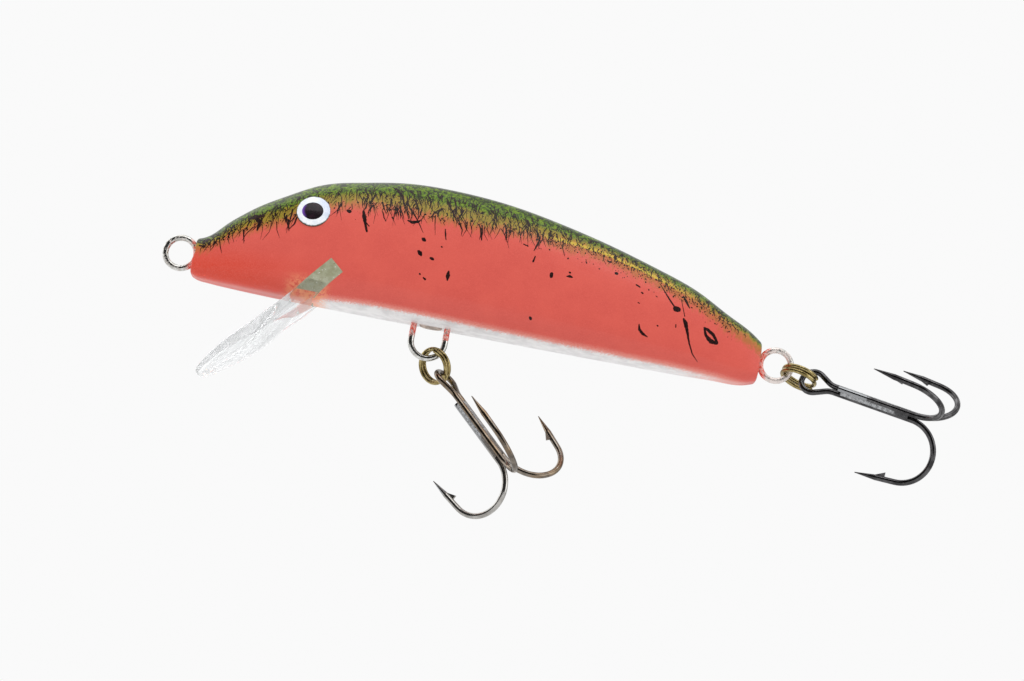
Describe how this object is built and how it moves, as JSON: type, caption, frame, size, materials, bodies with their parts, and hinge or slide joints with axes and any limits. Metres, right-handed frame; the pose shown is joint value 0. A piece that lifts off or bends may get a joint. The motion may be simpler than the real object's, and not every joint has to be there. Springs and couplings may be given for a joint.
{
  "type": "crankbait fishing lure",
  "caption": "Deep-diving crankbait lure: round-backed painted body with a clear wedge lip, wire line tie, and split rings carrying swinging treble hooks at belly and tail.",
  "frame": {"origin": "centre of the line tie, the wire loop at the nose", "axes": "+X from nose to tail, +Z towards the back, -Y towards the left flank; this is the attitude in which the lure swims"},
  "size_m": [0.0982, 0.02, 0.0395],
  "materials": {
    "balsa": "sealed balsa wood",
    "lacquer": "sprayed lacquer, coral flank under a green back",
    "stainless_wire": "bright stainless wire with paint over-spray",
    "lead": "cast lead",
    "filler": "grey filler",
    "clear_plastic": "clear moulded plastic",
    "epoxy": "clear epoxy, slightly yellow",
    "eye_white": "glossy white enamel",
    "eye_black": "glossy black enamel",
    "ring_brass": "bronzed spring wire",
    "hook_steel": "black nickel plated hook wire",
    "hook_braze": "dull brazing metal"
  },
  "bodies": {
    "lure_body": {"body_left_half": "balsa", "body_right_half": "balsa", "painted_skin": "lacquer", "through_wire": "stainless_wire", "belly_hanger": "stainless_wire", "ballast_weight": "lead", "weight_filler": "filler", "diving_lip": "clear_plastic", "lip_epoxy": "epoxy", "left_eye_disc": "eye_white", "left_pupil": "eye_black", "right_eye_disc": "eye_white", "right_pupil": "eye_black"},
    "belly_ring": {"belly_split_ring": "ring_brass"},
    "belly_hook": {"belly_hook_double": "hook_steel", "belly_hook_single": "hook_steel", "belly_hook_braze": "hook_braze"},
    "tail_ring": {"tail_split_ring": "ring_brass"},
    "tail_hook": {"tail_hook_double": "hook_steel", "tail_hook_single": "hook_steel", "tail_hook_braze": "hook_braze"}
  },
  "joints": [
    {"name": "belly_ring_swing", "type": "hinge", "parent": "lure_body", "child": "belly_ring", "pos_m": [0.03181, 0, -0.00704], "axis": [1, 0, 0], "range_deg": [-16, 50]},
    {"name": "belly_hook_swing", "type": "hinge", "parent": "belly_ring", "child": "belly_hook", "pos_m": [0.03428, 0.00009, -0.00923], "axis": [0.4914, -0.7245, 0.4834], "range_deg": [-70, 28]},
    {"name": "tail_ring_swing", "type": "hinge", "parent": "lure_body", "child": "tail_ring", "pos_m": [0.07527, 0, 0.0001], "axis": [0, 0, 1], "range_deg": [-50, 50]},
    {"name": "tail_hook_swing", "type": "hinge", "parent": "tail_ring", "child": "tail_hook", "pos_m": [0.07841, 0.00009, -0.0013], "axis": [-0.049, 0.9918, -0.118], "range_deg": [-60, 60]}
  ]
}
